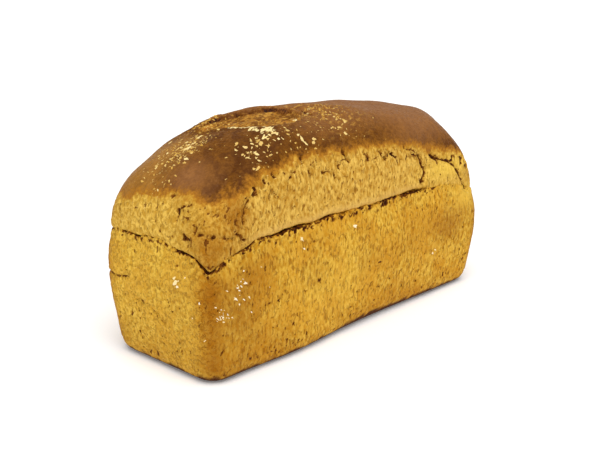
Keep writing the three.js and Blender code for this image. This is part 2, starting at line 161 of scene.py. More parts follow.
def ringPoint(columns, reach, rounding, z):
    # a rectangle with quarter-ellipse corners, walked at an even pace along each of its sides:
    # half sizes and corner radii to the left, to the right and across
    side, share = columns
    left, right, half = (np.broadcast_to(v, share.shape).astype(float) for v in reach)
    softLeft, softRight, softHalf = (np.broadcast_to(v, share.shape).astype(float) for v in rounding)
    before, after, face = (np.choose(side, v) for v in (
        (left, half, right, half), (right, half, left, half), (half, right, half, left)))
    softBefore, softAfter, soft = (np.choose(side, v) for v in (
        (softLeft, softHalf, softRight, softHalf), (softRight, softHalf, softLeft, softHalf),
        (softHalf, softRight, softHalf, softLeft)))
    arcBefore = np.maximum((softBefore + soft) * np.pi / 8, 1e-9)
    arcAfter = np.maximum((softAfter + soft) * np.pi / 8, 1e-9)
    straight = before + after - softBefore - softAfter
    s = share * (arcBefore + straight + arcAfter)
    turn = np.minimum(s / arcBefore - 1, 0) + np.maximum((s - arcBefore - straight) / arcAfter, 0)
    turn = turn * np.pi / 4
    u = softBefore - before + np.clip(s - arcBefore, 0, straight)
    u = u + np.where(turn < 0, softBefore, softAfter) * np.sin(turn)
    v = face - soft + soft * np.cos(turn)
    along, out = np.array([(1, 0), (0, 1), (-1, 0), (0, -1)]), np.array([(0, -1), (1, 0), (0, 1), (-1, 0)])
    plan = u[:, None] * along[side] + v[:, None] * out[side]
    return np.column_stack([plan, np.broadcast_to(z, share.shape)])


def wallRing(columns, out, z, radius):
    # the base's outline moved outward, with round corners
    f = loafForm
    return ringPoint(columns, (f["halfLength"] + out,) * 2 + (f["halfWidth"] + out,), (radius,) * 3, z)


def crackLine(rim):
    # crackHeight plus small waves, less at each corner by broad * exp(-(far / 28)^1.5) and by
    # sharp * exp(-far / 8)
    f = loafForm
    x, y = rim[:, 0], rim[:, 1]
    z = f["crackHeight"] + 0.7 * np.sin(x / 6.1) * np.sin(y / 5.3 + x / 17)
    for signX, signY, broad, sharp in crackDips:
        far = np.hypot(x - signX * f["halfLength"], y - signY * f["halfWidth"])
        z = z - broad * np.exp(-(far / f["broadDip"]) ** 1.5) - sharp * np.exp(-far / f["sharpDip"])
    return z + 0.7 * layeredNoise(rim, 7, 11)


def crackDepthAt(rim):
    # deep along the walls, nearly closed at the front's right end, less so behind, shallow far left
    x, y = rim[:, 0], rim[:, 1]
    closed = smooth(50, 85, x) * np.where(y < 0, 0.85, 0.4)
    shallow = 0.45 * smooth(112, 120, -x) * smooth(-34, -10, y)
    return loafForm["crackDepth"] * (1 - closed) * (1 - shallow)


def lipInset(depth, height, lip):
    # a quarter ellipse: depth at the crack, 0 at the lip's height
    rest = np.clip(1 - height / lip, 0, 1)
    return depth * (1 - np.sqrt(1 - rest * rest))


def crownRing(columns, rim, angle):
    # cos and sin of the angle over (cos^3 + sin^3)^(1/3) scale the width and the height,
    # and the ends draw in by slope * (1 - width^(3 / 1.7))
    f = loafForm
    power = f["crownRoundness"]
    size = (math.cos(angle) ** power + math.sin(angle) ** power) ** (-1 / power)
    inward, upward = max(0.0, math.cos(angle) * size), min(1.0, math.sin(angle) * size)
    endInward = 1 - inward ** (power / f["endRoundness"])
    inset = lipInset(rim["depth"], upward * (f["crownTop"] - rim["crack"]), f["lipHeight"])
    start = f["draft"] * f["crackHeight"] - rim["overhang"]
    length = f["halfLength"] + start - inset
    half = np.maximum(0, (f["halfWidth"] + start) * inward - inset)
    dome = smooth(0.5, 1.5, angle)
    corner = blendTo(f["cornerRadius"], f["shoulderRadius"], smooth(0, 0.8, angle))
    roundEnd = blendTo(corner, f["topDome"], dome)
    roundSide = np.minimum(half, blendTo(corner, half, dome))
    reach = (length - f["leftSlope"] * endInward, length - f["rightSlope"] * endInward, half)
    points = ringPoint(columns, reach, (roundEnd, roundEnd, roundSide), 0)
    ridge = f["crownTop"] - f["crownSag"] * ((points[:, 0] - f["crownPeak"]) / 100) ** 2
    points[:, 2] = rim["crack"] + (ridge - rim["crack"]) * upward
    return points


def wallHalf(columns, rim):
    # rings from the base's middle line over its edge and up the drafted, bulging walls to the crack
    f, g = loafForm, crustGrid
    rows = []
    for share in np.arange(g["base"]) / g["base"]:
        out = blendTo(-f["halfWidth"], -f["edgeRadius"], share)
        rows.append(wallRing(columns, out, 0, share * (f["cornerRadius"] - f["edgeRadius"])))
    for tilt in np.linspace(0, np.pi / 2, g["edge"]):
        z = f["edgeRadius"] * (1 - np.cos(tilt))
        draw = f["edgeRadius"] * (1 - np.sin(tilt))
        rows.append(wallRing(columns, f["draft"] * z - draw, z, f["cornerRadius"] - draw))
    top = rim["crack"] - 2 * f["shredHeight"]
    heights = [blendTo(f["edgeRadius"], top, k / g["wall"]) for k in range(1, g["wall"] + 1)]
    heights += [blendTo(top, rim["crack"], (k / g["shred"]) ** 0.7) for k in range(1, g["shred"] + 1)]
    for z in heights:
        rise = np.clip(z / rim["crack"], 0, 1)
        roll = f["wallShoulder"] * smooth(0.8, 1, rise)
        roll = roll + lipInset(rim["depth"], rim["crack"] - z, f["shredHeight"])
        out = f["draft"] * z + f["wallBulge"] * np.sin(np.pi * rise ** f["bulgePower"]) - roll
        rows.append(wallRing(columns, out, z, f["cornerRadius"]))
    return np.array(rows)


def crownHalf(columns, rim):
    # rings from the crack over the lip and the crown to the ridge line
    g, lipTop = crustGrid, 0.16
    angles = [lipTop * (k / g["lip"]) ** 1.4 for k in range(g["lip"])]
    angles += list(np.linspace(lipTop, np.pi / 2, g["crown"]))
    return np.array([crownRing(columns, rim, angle) for angle in angles])


def gridNormals(rows):
    # the cross product of the step along the ring and the step up the rows
    along = np.roll(rows, -1, axis=1) - np.roll(rows, 1, axis=1)
    normal = np.cross(along, np.gradient(rows, axis=0))
    if rows[0, 0, 2] == 0:
        normal[0] = (0, 0, -1)
    else:
        normal[-1] = (0, 0, 1)
    return normal / np.maximum(np.linalg.norm(normal, axis=-1, keepdims=True), 1e-9)


def tearRelief(p, normal, lines):
    # per line: a cut of deep * exp(-(d / (1.3 * wide))^2), d the distance to it along the surface, made
    # ragged by noise, and a narrower opening darkened by painted shade
    ragged = warped(p, 3.5, 1.3, 21)
    strength = 1 + 0.35 * valueNoise(p, 3, 27)
    depth, gapeShade = np.zeros(p.shape[:-1]), np.zeros(p.shape[:-1])
    for tear in lines:
        near = np.full(p.shape[:-1], 1e6)
        points = np.array(tear["at"], float)
        for a, b in zip(points[:-1], points[1:]):
            t = np.clip(((ragged - a) @ (b - a)) / max((b - a) @ (b - a), 1e-9), 0, 1)
            gap = ragged - (a + t[..., None] * (b - a))
            lift = np.sum(gap * normal, axis=-1)
            flat = np.linalg.norm(gap - lift[..., None] * normal, axis=-1)
            near = np.minimum(near, np.where(np.abs(lift) < 8, flat, 1e6))
        cut = np.exp(-(near / tear["wide"]) ** 2)
        depth = np.maximum(depth, tear["deep"] * strength * np.exp(-(near / (1.3 * tear["wide"])) ** 2))
        gapeShade = np.maximum(gapeShade, cut * min(1, tear["deep"] / 1.8) * strength)
    return depth, gapeShade


def slashPlace(p):
    # place in the slash, made ragged by noise: along and across it in half sizes, across in shares of the
    # width there, and how wide it is open, which is sqrt(1 - along^2) and 0 on the walls
    q = warped(warped(p, 14, 1.8, 141), 4, 1.1, 145)
    dx, dy = q[..., 0] - slash["x"], q[..., 1] - slash["y"]
    c, s = math.cos(slash["turn"]), math.sin(slash["turn"])
    along = (dx * c + dy * s) / slash["halfLength"]
    across = (dy * c - dx * s) / slash["halfWidth"]
    taper = np.sqrt(np.clip(1 - along * along, 0, 1))
    taper = np.where(p[..., 2] > loafForm["crackHeight"] + 20, taper, 0)
    front = blendTo(slash["narrow"], 1, smooth(slash["narrowFrom"], slash["narrowTo"], along))
    front = np.where(across < 0, front, 1)
    return along, across / np.maximum(taper, 0.02) / front, taper


def slashRelief(p):
    # a floor that falls from the front lip to the back one, which stands up over a groove darkened with
    # painted shade; layered strands run along it, and flour lies along the front lip
    along, across, taper = slashPlace(p)
    opened = smooth(0.1, 0.5, taper)
    inside = opened * smooth(1.04, 0.9, np.abs(across))
    turned = np.stack([along * slash["halfLength"], across * slash["halfWidth"], 0 * along], axis=-1)
    strands = 1 - 3 * np.abs(layeredNoise(warped(turned, 6, 2.4, 43), (11, 4.2, 9), 41))
    sunk = smooth(1.02, 0.9, np.abs(across)) * blendTo(slash["floor"], 1, smooth(-1, 0.7, across))
    out = slash["lip"] * taper * hump(across, slash["lipAt"], slash["lipWidth"])
    out -= slash["depth"] * taper * sunk
    out -= slash["grooveDepth"] * taper * hump(across, slash["grooveAt"], slash["grooveWidth"])
    out += slash["frontLip"] * taper * hump(across, slash["frontLipAt"], slash["frontLipWidth"])
    out += slash["strandHeight"] * inside * strands
    # painted shade in the groove under the back lip and between the strands
    grooveShade = opened * hump(across, 0.96, 0.08) * (0.85 + 0.5 * valueNoise(p, 5, 85))
    grooveShade = np.maximum(grooveShade, 0.75 * inside * smooth(0.1, -0.6, strands))
    dusting = hump(across, slash["flourAt"], slash["flourWidth"]) * opened
    dusting *= smooth(-0.6, -0.25, along) * smooth(0.6, 0.15, along)
    dusting += 0.5 * hump(across, -0.7, 0.5) * smooth(0.2, 0.7, along) * inside
    dusting *= 0.62 + 1.7 * layeredNoise(p, 2.4, 81)
    # a band behind the slash's back lip, used only for the crown's painted sheen
    ridge = taper * hump(across, 1.35, 0.35)
    return out, {"heart": inside, "flour": smooth(0.2, 0.6, dusting)}, grooveShade, strands, ridge


# How far each part of the crust's relief reaches, in millimetres
crustDepths = {
    "wallLumps": 0.45, "crownLumps": 0.8, "grain": 0.3, "torn": 0.55, "wrinkle": 1.2, "crownGrain": 0.12,
    "string": 1.1, "pit": 1, "nick": 0.6, "shred": 1.5, "lipRoll": 0.5, "rimStep": 0.5, "rimRag": 2.2,
}
# Spots of the crown in plan: strength, x and its reach, y and its reach
# painted sheen: a greyer highlight painted on the crown's front-left shoulder
paintedSheenSpots = [(1, -109, 11, -14, 13)]
deepSpots = [(1, -78, 24, -33, 14), (0.7, -108, 9, -33, 7)]
roughSpots = [(1, -5, 24, -12, 20), (1.2, -64, 14, 19, 10)]
# Darker and golden patches of the front: strength, place along it and reach, height and rise
scorchSpots = [
    (0.55, -104, 15, 42, 24), (0.5, 82, 22, 51, 13), (0.2, -76, 16, 62, 9), (0.2, -76, 16, 18, 9),
    (0.7, -102, 9, 95, 10),
]
goldenSpots = [(0.35, -30, 34, 36, 16), (1, 108, 14, 64, 9), (1, 84, 26, 86, 8)]


def spotFields(spots, a, b):
    # per spot: strength * exp(-((a - place) / reach)^2) * exp(-((b - place) / reach)^2)
    return [s * hump(a, atA, reachA) * hump(b, atB, reachB) for s, atA, reachA, atB, reachB in spots]


def onLeftEnd(x):
    # 1 on the left end, 0 on the long walls
    return smooth(-112, -122, x)


def broadLumps(x, y, z):
    # two products of sines, higher on the crown than on the walls
    f = loafForm
    lumps = np.sin(x / 15.3 + 1.7 * np.sin(y / 19.1)) * np.cos(z / 13.7 + y / 16.9)
    lumps += 0.6 * np.sin(x / 7.9 + z / 9.7 + 2) * np.cos(y / 8.3 - x / 21)
    lift = smooth(f["crackHeight"] - 15, f["crackHeight"] + 20, z)
    return blendTo(crustDepths["wallLumps"], crustDepths["crownLumps"], lift) * lumps


def crownZones(p, above):
    # how far each point lies over the brown crown's lower edge, made ragged by noise; then, from 0 to 1,
    # the crown, the paler band that stretched open under it, and the band's smooth lip over the crack
    x, y, z = p[..., 0], p[..., 1], p[..., 2]
    edge = np.interp(x, *zip(*crownEdge)) + 3 * hump(x, -118, 8) * hump(y, -20, 18)
    edge -= 5 * smooth(0, 30, y) * (x < -100)
    wobble = 3 * layeredNoise(p, 16, 31) + 2.5 * layeredNoise(p, 5, 35) + 1.2 * layeredNoise(p, 1.8, 37, 2)
    over = z - edge + wobble
    band = smooth(0, 2, above) * smooth(2, -5, over)
    lip = band * smooth(7, 2, above) * smooth(-0.5, 0.5, -y / 20) * smooth(-105, -85, x) * smooth(65, 45, x)
    return over, smooth(-6, 8, over), band, lip


def crownTones(p, ridge):
    # the crown's painted sheen, a greyer highlight painted on its spots, to the right, on top and along the
    # slash's back lip, its golden-brown slope far left, and its deepest brown
    x, y, z = p[..., 0], p[..., 1], p[..., 2]
    paintedSheen = sum(spotFields(paintedSheenSpots, x, y)) + smooth(15, 60, x) * smooth(98, 118, z) + ridge
    paintedSheen += 0.7 * smooth(-60, -15, x) * smooth(116, 130, z) * (1 + 0.5 * layeredNoise(p, 9, 65))
    paintedSheen += 0.6 * smooth(-15, 5, y) * smooth(-10, 20, x) * smooth(120, 128, z)
    slope = smooth(-72, -98, x) * smooth(-10, 14, y) * (1 + 0.6 * layeredNoise(p, 6, 67))
    return {"paintedSheen": paintedSheen, "slope": slope, "deep": sum(spotFields(deepSpots, x, y))}


def grainRelief(p, toast, band, lip):
    # grain: stretched upright on the long walls, torn on the band, wrinkled beside the slash
    x, y, d = p[..., 0], p[..., 1], crustDepths
    upright = blendTo(layeredNoise(p, (1.7, 1.7, 5), 51), layeredNoise(p, 2, 52), onLeftEnd(x))
    torn = layeredNoise(warped(p, 5, 1.6, 57), (1.7, 1.7, 4.2), 53)
    rough = np.maximum.reduce(spotFields(roughSpots, x, y)) * toast
    crumple = 1 - 2 * np.abs(layeredNoise(warped(p, 6, 2, 67), (4.5, 2.6, 4), 61))
    out = d["grain"] * upright * (1 - band) * (1 - toast) + d["torn"] * torn * band * (1 - 0.6 * lip)
    out += d["wrinkle"] * rough * crumple + d["crownGrain"] * toast * layeredNoise(p, 2.4, 63)
    return out, rough


def cornerStrings(p, above, toast):
    # upright strings of dough over the near corner: their relief, where they are, and painted shade between
    # them
    fromCorner = np.hypot(p[..., 0] + loafForm["halfLength"], p[..., 1] + loafForm["halfWidth"])
    post = hump(fromCorner, 0, 20) * smooth(0, 3, above) * (1 - toast)
    strings = layeredNoise(warped(p, 6, 1.5, 77), (2.1, 2.1, 9), 55)
    return crustDepths["string"] * post * strings, post, post * smooth(-0.1, -0.5, strings)


def pitsAndNicks(p, over, toast, band, lip):
    # pits of the band, more of them right under the crown, and nicks of the walls, more of them by the foot
    pits = smooth(0.34, 0.6, layeredNoise(warped(p, 4, 1.2, 79), (2, 2, 3.2), 71, 2))
    stitches = smooth(0.35, 0.65, valueNoise(warped(p, 5, 1.5, 83), (2.6, 2.6, 3.6), 75))
    stitches = stitches * hump(over, -6, 4) * band
    pits = np.maximum(pits * 0.65 * band * (1 - lip), stitches)
    pits = pits * (1 - 0.45 * smooth(-100, -112, p[..., 0]))
    nicks = layeredNoise(p, (1.6, 1.6, 3), 73, 2) + 0.12 * hump(p[..., 2], 10, 14)
    return pits, smooth(0.46, 0.66, nicks) * (1 - band) * (1 - toast)


def crackRelief(p, above, agape, lip):
    # the crack: an opening darkened with painted shade, broken up by noise, with ragged shreds under it that
    # get painted shade too, and a rolled lip over it
    rag = layeredNoise(p, (2.2, 2.2, 2), 91, 2)
    shredded = hump(above, -2.1, 1.7) * (above <= 0) * agape
    out = crustDepths["shred"] * shredded * rag + crustDepths["lipRoll"] * lip * hump(above, 3.2, 2.4)
    shut = smooth(-0.45, 0.2, layeredNoise(p, (5, 5, 20), 93))
    broken = 0.5 + 0.45 * smooth(-5, -22, p[..., 1]) + 0.5 * valueNoise(p, 3.5, 94)
    shut = blendTo(shut, np.clip(broken, 0, 1), onLeftEnd(p[..., 0]))
    gapeShade = hump(above, -0.5, 0.9) * (above <= 0) * smooth(0.1, 0.5, agape) * shut
    return out, np.maximum(gapeShade, shredded * smooth(0.05, -0.35, rag))


def bakedPatches(p, above, post):
    # darker baked patches of the upright corners, the foot and the front, golden ones of the left end and
    # the front, and the foot's dark line
    x, y, z, f = p[..., 0], p[..., 1], p[..., 2], loafForm
    corner = np.hypot(np.abs(x) - f["halfLength"] - 1, np.abs(y) - f["halfWidth"] - 1)
    onFront = smooth(-36, -42, y)
    scorch = 0.75 * hump(corner, 0, 9) * smooth(3, -8, above) + 0.2 * hump(z, 8, 14) * (above < 0)
    scorch += onFront * (sum(spotFields(scorchSpots, x, z)) + 0.2 * hump(x, -95, 22) * smooth(80, 60, z))
    scorch += 0.3 * post + 0.45 * hump(corner, 0, 14) * hump(above, 10, 10) + 0.3 * layeredNoise(p, 22, 97)
    golden = 0.4 * onLeftEnd(x) * smooth(40, 34, np.abs(y)) + onFront * sum(spotFields(goldenSpots, x, z))
    return {"scorch": scorch, "golden": golden, "foot": smooth(5.2, 2.6, z + 3.4 * layeredNoise(p, 4, 99))}


def crustRelief(p, normal, above, crackDepth):
    # height of the crust over the solid's smooth form, and the masks that colour it. The back gets the
    # front's tears, turned half round, apart from those on top of the crown
    d = crustDepths
    over, toast, band, lip = crownZones(p, above)
    slashOut, slashMasks, grooveShade, strands, ridge = slashRelief(p)
    grain, rough = grainRelief(p, toast, band, lip)
    strung, post, shadedGaps = cornerStrings(p, above, toast)
    pits, nicks = pitsAndNicks(p, over, toast, band, lip)
    behind = [dict(t, at=[(-a, -b, c) for a, b, c in t["at"]]) for t in tears if t["at"][0][2] < 120]
    tearDepth, tearShade = tearRelief(p, normal, tears + behind)
    agape = np.clip(crackDepth / loafForm["crackDepth"], 0, 1)
    crackOut, crackShade = crackRelief(p, above, agape, lip)
    out = broadLumps(*np.moveaxis(p, -1, 0)) + slashOut + grain + strung + crackOut
    out -= d["pit"] * pits + d["nick"] * nicks + tearDepth
    # painted shade: the crack, pits, nicks, gaps between strings, tears and the slash's groove darkened
    gapeShade = np.maximum.reduce([crackShade, 0.9 * pits, 0.7 * nicks, 0.9 * shadedGaps, tearShade, 0.9 * grooveShade])
    return out, {
        "toast": toast, "gapeShade": gapeShade, "band": band * (1 - 0.5 * post), "lip": lip, "rough": rough,
        # strand: painted shade of the slash's heart, darker between its raised strands
        "strand": slashMasks["heart"] * (0.5 + 0.5 * strands), "ends": smooth(112, 122, np.abs(p[..., 0])),
        **crownTones(p, ridge), **bakedPatches(p, above, post), **slashMasks,
    }


def raggedRim(p, above):
    # the walls' torn upper edge: up or down by noise, fading out 4 mm below the crack
    rag = crustDepths["rimStep"] + crustDepths["rimRag"] * layeredNoise(p, (2.4, 2.4, 30), 95, 2)
    return rag * smooth(-4, -0.2, above)


def bakeRelief(rows, rim):
    # the rings moved along their normals by the relief, fading to nothing on the flat base; then the
    # front's lower edge is lifted by an arch and the foot bulges outward
    f = loafForm
    normal = gridNormals(rows)
    crackDepth = np.broadcast_to(rim["depth"], rows.shape[:2])
    out, masks = crustRelief(rows, normal, rows[..., 2] - rim["crack"], crackDepth)
    free = smooth(0, 2 * f["edgeRadius"], rows[..., 2])
    p = rows + (free * out)[..., None] * normal
    x, y, z = p[..., 0], p[..., 1], p[..., 2]
    lowEdge = smooth(f["halfWidth"] - f["edgeRadius"], f["halfWidth"], -y) * smooth(f["footTop"], 5, z)
    p[..., 2] += f["archLift"] * hump(x, f["archX"], f["archReach"]) * lowEdge
    for facing, middle, reach, bulge in footBellies:
        belly = hump(x, middle, reach) * smooth(f["footTop"], 10, z)
        p[..., 1] += facing * bulge * belly * smooth(0.5 * f["halfWidth"], 0.85 * f["halfWidth"], facing * y)
    return p, masks


def addPiece(name, data):
    piece = bpy.data.objects.new(name, data)
    bpy.context.scene.collection.objects.link(piece)
    return piece


def gridPiece(name, rows, masks):
    # quads between neighbouring rings; the first and the last ring fold onto a line and are welded
    rings, columns = rows.shape[:2]
    here = np.arange(rings * columns).reshape(rings, columns)
    nextOver = np.roll(here, -1, axis=1)
    faces = np.stack([here[:-1], nextOver[:-1], nextOver[1:], here[1:]], axis=-1).reshape(-1, 4)
    mesh = bpy.data.meshes.new(name)
    mesh.from_pydata((rows.reshape(-1, 3) * mm).tolist(), [], faces.tolist())
    for key, values in masks.items():
        layer = mesh.attributes.new(key, "FLOAT", "POINT")
        layer.data.foreach_set("value", np.clip(values, 0, 1).ravel().astype(np.float32))
    work = bmesh.new()
    work.from_mesh(mesh)
    bmesh.ops.remove_doubles(work, verts=work.verts, dist=0.02 * mm)
    bmesh.ops.dissolve_degenerate(work, edges=work.edges, dist=0.01 * mm)
    loose = sum(1 for edge in work.edges if not edge.is_manifold)
    print(name + ":", len(work.faces), "faces,", loose, "open edges")
    work.to_mesh(mesh)
    work.free()
    mesh.shade_smooth()
    return addPiece(name, mesh)


def insideRing(columns, rim, inset, drop):
    # a hidden ring under the crust at the crack, set in and down
    out = loafForm["draft"] * loafForm["crackHeight"] - inset
    return wallRing(columns, out, rim["crack"] - drop, loafForm["cornerRadius"] - 0.5 * inset)


def makeCrust():
    # the walls and the crown, each closed by a hidden floor inside the loaf
    f, g = loafForm, crustGrid
    side = np.repeat([0, 1, 2, 3], [g["long"], g["end"]] * 2)
    share = np.concatenate([np.arange(n) / n for n in (g["long"], g["end"]) * 2])
    columns = (side, share)
    outline = wallRing(columns, f["draft"] * f["crackHeight"], f["crackHeight"], f["cornerRadius"])
    rim = {"crack": crackLine(outline), "depth": crackDepthAt(outline)}
    rightEnd = smooth(f["endStart"], f["endFull"], outline[:, 0])
    rim["overhang"] = blendTo(f["crackOverhang"], f["endOverhang"], rightEnd)
    pieces = []
    for name, half, hidden in (("tinWalls", wallHalf, (7, 1.5, 60)), ("bakedCrown", crownHalf, (8, 4, 66))):
        smoothRows = half(columns, rim)
        rows, masks = bakeRelief(smoothRows, rim)
        if half is wallHalf:
            rows[..., 2] += raggedRim(smoothRows, smoothRows[..., 2] - rim["crack"])
        inset, drop, level = hidden
        closing = [insideRing(columns, rim, inset, drop), wallRing(columns, -f["halfWidth"], level, 0)]
        plain = {key: np.zeros((2, len(share))) for key in masks}
        if half is wallHalf:
            rows = np.concatenate([rows, closing])
            masks = {key: np.concatenate([masks[key], plain[key]]) for key in masks}
        else:
            rows = np.concatenate([closing[::-1], rows])
            masks = {key: np.concatenate([plain[key], masks[key]]) for key in masks}
        pieces.append(gridPiece(name, rows, masks))
    return pieces


walls, crown = makeCrust()

# Bran flakes on the crown: count, seed and sizes of the solid's own flakes, of the fine ones between them
# and of the crumbs in each field. Lengths in millimetres, widths in shares of the length
flakeSettings = {
    "count": 88, "seed": 7, "longest": 4.4, "shrink": 2.4, "extra": 0.8,
    "slim": 0.5, "slimExtra": 0.3, "flat": 0.8, "thickness": 0.3,
    "fineCount": 430, "fineSeed": 19, "fineSpread": 1.5, "fineLength": 0.9, "fineExtra": 1.6,
    "fineSlim": 0.3, "fineSlimExtra": 0.35, "fineGold": 0.6,
    "crumbCount": 45, "crumbLength": 1, "crumbExtra": 1.8, "crumbSlim": 0.7,
}
rayStart = 300  # how far off the rays onto the crust start, in millimetres
# Where the flakes lie, in plan: x, y, spread in x and y, shares of the count and of the fine count
flakeFields = [
    (-97, 7, 16, 11, 0.3, 0.52), (-60, -29, 18, 7, 0.24, 0.12), (-77, -30, 11, 9, 0.16, 0.1),
    (-42, -36, 11, 4, 0.1, 0.05), (-8, -26, 22, 9, 0.12, 0.16), (-50, 27, 34, 8, 0.08, 0.08),
]
# Golden crumbs torn out of the slash lie at its left end and to its right: x, y, spread in x and y
crumbFields = [(-62, 20, 12, 6), (-67, 13, 9, 7), (-12, -16, 14, 10), (-92, 6, 12, 9)]
# Fine specks on the front by the near corner: seed, spread along the wall and up, least size and what is
# added to it, shares of length and width; then each cluster's place along the wall, height and count
speckSettings = {"seed": 53, "spread": 5, "rise": 6, "least": 0.6, "extra": 0.9, "long": 1.2, "wide": 0.6}
speckClusters = [(-115, 42, 24), (-104, 54, 11)]
# Flour blisters on the walls: wall, place along it, height, length
blisterSpots = [
    ("front", -11, 68, 5), ("front", -55, 70, 3.8), ("front", -100, 56, 3.4),
    ("front", -107, 49, 3), ("front", 71, 31, 2.8), ("left", -21, 57, 5),
    ("front", -54, 64, 1.8), ("front", -101, 47, 2), ("front", -97, 47, 2.4), ("front", -105, 55, 1.6),
    ("front", -101, 63, 1.7), ("front", -95, 38, 1.7), ("front", -104, 45, 1.4), ("front", -82, 49, 1.2),
    ("front", -113, 55, 1.6), ("front", -115, 38, 1.5), ("front", -109, 39, 1.3), ("front", -88, 62, 1.2),
    ("left", -38, 49, 1.6), ("left", -33, 40, 1.4), ("left", -39, 28, 1.4), ("left", -28, 61, 1.2),
    ("left", -22, 54.5, 2.6), ("left", -20, 59, 2.8), ("left", -23, 58, 1.6), ("front", 73, 33, 2.2),
]


def seededRandom(seed):
    # the running remainder state * 1664525 + 1013904223, modulo 2^32, over 2^32
    state = seed
    while True:
        state = (state * 1664525 + 1013904223) & 0xFFFFFFFF
        yield state / 4294967296


def flakeShape(rng):
    # a flat crumpled disc: eight spokes of uneven length, a raised inner ring, a lower one
    angle = np.arange(8) * np.pi / 4
    reach = 0.5 * (0.35 + 0.95 * np.array([next(rng) for _ in angle]))
    wave = 0.6 * np.array([next(rng) - 0.5 for _ in angle])
    rim = np.column_stack([reach * np.cos(angle), reach * np.sin(angle), wave])
    inner = np.column_stack([0.55 * rim[:, :2], 0.34 + 0.4 * wave])
    under = np.column_stack([0.6 * rim[:, :2], np.full(8, -0.9)])
    vertices = np.vstack([rim, inner, under, [[0, 0, 0.45], [0, 0, -1]]])
    k, j = np.arange(8), (np.arange(8) + 1) % 8
    quads = np.vstack([np.column_stack([k, j, j + 8, k + 8]), np.column_stack([j, k, k + 16, j + 16])])
    top, bottom = np.full(8, 24), np.full(8, 25)
    fans = np.vstack([np.column_stack([k + 8, j + 8, top]), np.column_stack([j + 16, k + 16, bottom])])
    return vertices, quads.tolist() + fans.tolist()


def aboveField(rng, x, y, spreadX, spreadY):
    # a ray's start over the field: its middle plus the spread times three draws less 1.5, in x, then in y
    px = x + spreadX * (next(rng) + next(rng) + next(rng) - 1.5)
    py = y + spreadY * (next(rng) + next(rng) + next(rng) - 1.5)
    return px, py, rayStart


def crownFlakes():
    # seeded places of the solid's flakes, largest first in each field, then the fine ones and the crumbs:
    # ray, length, width, turn and how golden it is
    s, down, places = flakeSettings, (0, 0, -1), []
    rng = seededRandom(s["seed"])
    for x, y, spreadX, spreadY, share, _ in flakeFields:
        count = math.floor(s["count"] * share + 0.5)
        for i in range(count):
            start = aboveField(rng, x, y, spreadX, spreadY)
            length = s["longest"] - s["shrink"] * math.sqrt(i / count) + s["extra"] * next(rng)
            width = s["flat"] * length * (s["slim"] + s["slimExtra"] * next(rng))
            places.append((start, down, length, width, 2 * math.pi * next(rng), 0))
    rng = seededRandom(s["fineSeed"])
    for x, y, spreadX, spreadY, _, share in flakeFields:
        for _ in range(round(s["fineCount"] * share)):
            start = aboveField(rng, x, y, s["fineSpread"] * spreadX, s["fineSpread"] * spreadY)
            length = s["fineLength"] + s["fineExtra"] * next(rng) ** 2
            width = length * (s["fineSlim"] + s["fineSlimExtra"] * next(rng))
            places.append((start, down, length, width, 2 * math.pi * next(rng), s["fineGold"]))
    for field in crumbFields:
        for _ in range(s["crumbCount"]):
            start = aboveField(rng, *field)
            length = s["crumbLength"] + s["crumbExtra"] * next(rng) ** 2
            places.append((start, down, length, s["crumbSlim"] * length, 2 * math.pi * next(rng), 1))
    return places


def wallBlisters():
    # the blisters' rays, straight onto their wall, and a seeded dusting of fine ones by the near corner
    s = speckSettings
    rng = seededRandom(s["seed"])
    spots = list(blisterSpots)
    for middle, height, count in speckClusters:
        for _ in range(count):
            along = middle + s["spread"] * (next(rng) + next(rng) - 1)
            up = height + s["rise"] * (next(rng) + next(rng) - 1)
            spots.append(("front", along, up, s["least"] + s["extra"] * next(rng)))
    places = []
    for wall, along, height, size in spots:
        start, towards = (along, -rayStart, height), (0, 1, 0)
        if wall == "left":
            start, towards = (-rayStart, along, height), (1, 0, 0)
        places.append((start, towards, s["long"] * size, s["wide"] * size, 1.2 + 0.8 * next(rng), 0))
    return places


def rayTree(piece):
    # the baked piece as a tree for rays
    mesh = piece.data
    places = np.empty(len(mesh.vertices) * 3)
    mesh.vertices.foreach_get("co", places)
    return BVHTree.FromPolygons(places.reshape(-1, 3).tolist(), [tuple(p.vertices) for p in mesh.polygons])


def scatterOn(name, places, tree, seed):
    # each flake scaled, turned about the crust's normal and laid where its ray meets the crust
    rng = seededRandom(seed)
    vertices, faces, tints = [], [], []
    for start, towards, length, width, turn, golden in places:
        shape, shapeFaces = flakeShape(rng)
        tint = blendTo(golden, 1, next(rng))
        point, normal, _, _ = tree.ray_cast(Vector(start) * mm, Vector(towards))
        if point is None or normal.dot(Vector(towards)) > 0:
            continue
        across = normal.orthogonal().normalized()
        u = math.cos(turn) * across + math.sin(turn) * normal.cross(across)
        size = np.array([length, width, flakeSettings["thickness"] * width]) * mm
        placed = (shape * size) @ np.array([u, normal.cross(u), normal]) + np.array(point)
        faces += [[len(vertices) + k for k in face] for face in shapeFaces]
        vertices += placed.tolist()
        tints += [tint] * len(placed)
    mesh = bpy.data.meshes.new(name)
    mesh.from_pydata(vertices, [], faces)
    mesh.attributes.new("tint", "FLOAT", "POINT").data.foreach_set("value", tints)
    print(name + ":", len(faces), "faces")
    return addPiece(name, mesh)


flakes = scatterOn("branFlakes", crownFlakes(), rayTree(crown), 31)
specks = scatterOn("flourSpecks", wallBlisters(), rayTree(walls), 37)

